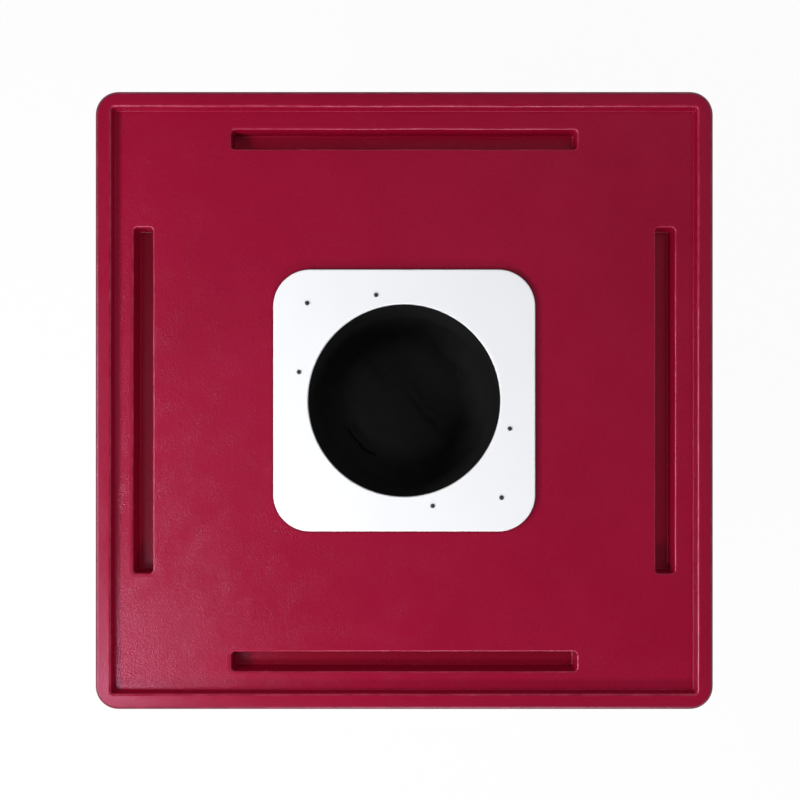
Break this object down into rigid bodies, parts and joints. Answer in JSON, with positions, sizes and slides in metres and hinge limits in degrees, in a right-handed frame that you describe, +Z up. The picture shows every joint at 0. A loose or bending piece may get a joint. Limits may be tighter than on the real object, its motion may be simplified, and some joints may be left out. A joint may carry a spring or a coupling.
{
  "type": "mahjong table with drawers",
  "caption": "Square game table with a raised rim, tile troughs and a bag under a ring in its top, drawers in its apron, and folding legs on knuckle braces.",
  "frame": {"origin": "on the floor under the middle of the table", "axes": "+Z up, front drawer faces -Y, +X to the right"},
  "size_m": [0.8, 0.8, 0.75],
  "materials": {
    "crimson_plastic": "satin, fine pebble grain",
    "crimson_board": "satin laminate",
    "white_plastic": "satin",
    "black_plastic": "fine texture",
    "black_nylon": "plain weave",
    "black_steel": "powder coat",
    "zinc_steel": "zinc plate",
    "dark_screw": "black oxide",
    "bare_wood": "planed softwood",
    "black_rubber": "matte"
  },
  "bodies": {
    "table": {"table_top": "crimson_plastic", "centre_ring": "white_plastic", "ring_screws": "dark_screw", "hoop_saddles": "black_plastic", "bag_hoop": "zinc_steel", "tile_bag": "black_nylon", "apron_rail_front": "crimson_board", "inner_rail_front": "bare_wood", "drawer_runners_front": "zinc_steel", "apron_rail_right": "crimson_board", "inner_rail_right": "bare_wood", "drawer_runners_right": "zinc_steel", "apron_rail_back": "crimson_board", "inner_rail_back": "bare_wood", "drawer_runners_back": "zinc_steel", "apron_rail_left": "crimson_board", "inner_rail_left": "bare_wood", "drawer_runners_left": "zinc_steel", "corner_block_front_right": "bare_wood", "leg_bracket_front_right": "zinc_steel", "corner_block_back_right": "bare_wood", "leg_bracket_back_right": "zinc_steel", "corner_block_back_left": "bare_wood", "leg_bracket_back_left": "zinc_steel", "corner_block_front_left": "bare_wood", "leg_bracket_front_left": "zinc_steel", "leg_pivots": "zinc_steel", "brace_anchor_pins": "zinc_steel", "apron_screws": "zinc_steel", "top_screws": "zinc_steel", "frame_screws": "zinc_steel"},
    "drawer_front": {"drawer_tray_front": "black_plastic", "drawer_front_front": "crimson_board", "drawer_pull_front": "zinc_steel"},
    "drawer_right": {"drawer_tray_right": "black_plastic", "drawer_front_right": "crimson_board", "drawer_pull_right": "zinc_steel"},
    "drawer_back": {"drawer_tray_back": "black_plastic", "drawer_front_back": "crimson_board", "drawer_pull_back": "zinc_steel"},
    "drawer_left": {"drawer_tray_left": "black_plastic", "drawer_front_left": "crimson_board", "drawer_pull_left": "zinc_steel"},
    "leg_front_right": {"leg_tube_front_right": "black_steel", "leg_foot_front_right": "black_rubber"},
    "upper_link_front_right": {"brace_upper_front_right": "zinc_steel"},
    "lower_link_front_right": {"brace_lower_front_right": "zinc_steel"},
    "leg_back_right": {"leg_tube_back_right": "black_steel", "leg_foot_back_right": "black_rubber"},
    "upper_link_back_right": {"brace_upper_back_right": "zinc_steel"},
    "lower_link_back_right": {"brace_lower_back_right": "zinc_steel"},
    "leg_back_left": {"leg_tube_back_left": "black_steel", "leg_foot_back_left": "black_rubber"},
    "upper_link_back_left": {"brace_upper_back_left": "zinc_steel"},
    "lower_link_back_left": {"brace_lower_back_left": "zinc_steel"},
    "leg_front_left": {"leg_tube_front_left": "black_steel", "leg_foot_front_left": "black_rubber"},
    "upper_link_front_left": {"brace_upper_front_left": "zinc_steel"},
    "lower_link_front_left": {"brace_lower_front_left": "zinc_steel"}
  },
  "joints": [
    {"name": "drawer_slide_front", "type": "slide", "parent": "table", "child": "drawer_front", "axis": [0, -1, 0], "range_m": [0, 0.15]},
    {"name": "drawer_slide_right", "type": "slide", "parent": "table", "child": "drawer_right", "axis": [1, 0, 0], "range_m": [0, 0.15]},
    {"name": "drawer_slide_back", "type": "slide", "parent": "table", "child": "drawer_back", "axis": [0, 1, 0], "range_m": [0, 0.15]},
    {"name": "drawer_slide_left", "type": "slide", "parent": "table", "child": "drawer_left", "axis": [-1, 0, 0], "range_m": [0, 0.15]},
    {"name": "leg_fold_front_right", "type": "hinge", "parent": "table", "child": "leg_front_right", "pos_m": [0.34, -0.3405, 0.632], "axis": [0, 1, 0], "range_deg": [0, 90]},
    {"name": "brace_anchor_front_right", "type": "hinge", "parent": "table", "child": "upper_link_front_right", "pos_m": [0.19, -0.35775, 0.632], "axis": [0, 1, 0], "range_deg": [-45, 0]},
    {"name": "brace_knuckle_front_right", "type": "hinge", "parent": "upper_link_front_right", "child": "lower_link_front_right", "pos_m": [0.265, -0.35475, 0.557], "axis": [0, 1, 0], "range_deg": [0, 180]},
    {"name": "leg_fold_back_right", "type": "hinge", "parent": "table", "child": "leg_back_right", "pos_m": [0.3405, 0.34, 0.632], "axis": [-1, 0, 0], "range_deg": [0, 90]},
    {"name": "brace_anchor_back_right", "type": "hinge", "parent": "table", "child": "upper_link_back_right", "pos_m": [0.35775, 0.19, 0.632], "axis": [-1, 0, 0], "range_deg": [-45, 0]},
    {"name": "brace_knuckle_back_right", "type": "hinge", "parent": "upper_link_back_right", "child": "lower_link_back_right", "pos_m": [0.35475, 0.265, 0.557], "axis": [-1, 0, 0], "range_deg": [0, 180]},
    {"name": "leg_fold_back_left", "type": "hinge", "parent": "table", "child": "leg_back_left", "pos_m": [-0.34, 0.3405, 0.632], "axis": [0, -1, 0], "range_deg": [0, 90]},
    {"name": "brace_anchor_back_left", "type": "hinge", "parent": "table", "child": "upper_link_back_left", "pos_m": [-0.19, 0.35775, 0.632], "axis": [0, -1, 0], "range_deg": [-45, 0]},
    {"name": "brace_knuckle_back_left", "type": "hinge", "parent": "upper_link_back_left", "child": "lower_link_back_left", "pos_m": [-0.265, 0.35475, 0.557], "axis": [0, -1, 0], "range_deg": [0, 180]},
    {"name": "leg_fold_front_left", "type": "hinge", "parent": "table", "child": "leg_front_left", "pos_m": [-0.3405, -0.34, 0.632], "axis": [1, 0, 0], "range_deg": [0, 90]},
    {"name": "brace_anchor_front_left", "type": "hinge", "parent": "table", "child": "upper_link_front_left", "pos_m": [-0.35775, -0.19, 0.632], "axis": [1, 0, 0], "range_deg": [-45, 0]},
    {"name": "brace_knuckle_front_left", "type": "hinge", "parent": "upper_link_front_left", "child": "lower_link_front_left", "pos_m": [-0.35475, -0.265, 0.557], "axis": [1, 0, 0], "range_deg": [0, 180]}
  ],
  "couplings": [
    {"joint": "brace_anchor_front_right", "follows": "leg_fold_front_right", "ratio": -0.5},
    {"joint": "brace_knuckle_front_right", "follows": "leg_fold_front_right", "ratio": 2},
    {"joint": "brace_anchor_back_right", "follows": "leg_fold_back_right", "ratio": -0.5},
    {"joint": "brace_knuckle_back_right", "follows": "leg_fold_back_right", "ratio": 2},
    {"joint": "brace_anchor_back_left", "follows": "leg_fold_back_left", "ratio": -0.5},
    {"joint": "brace_knuckle_back_left", "follows": "leg_fold_back_left", "ratio": 2},
    {"joint": "brace_anchor_front_left", "follows": "leg_fold_front_left", "ratio": -0.5},
    {"joint": "brace_knuckle_front_left", "follows": "leg_fold_front_left", "ratio": 2}
  ]
}
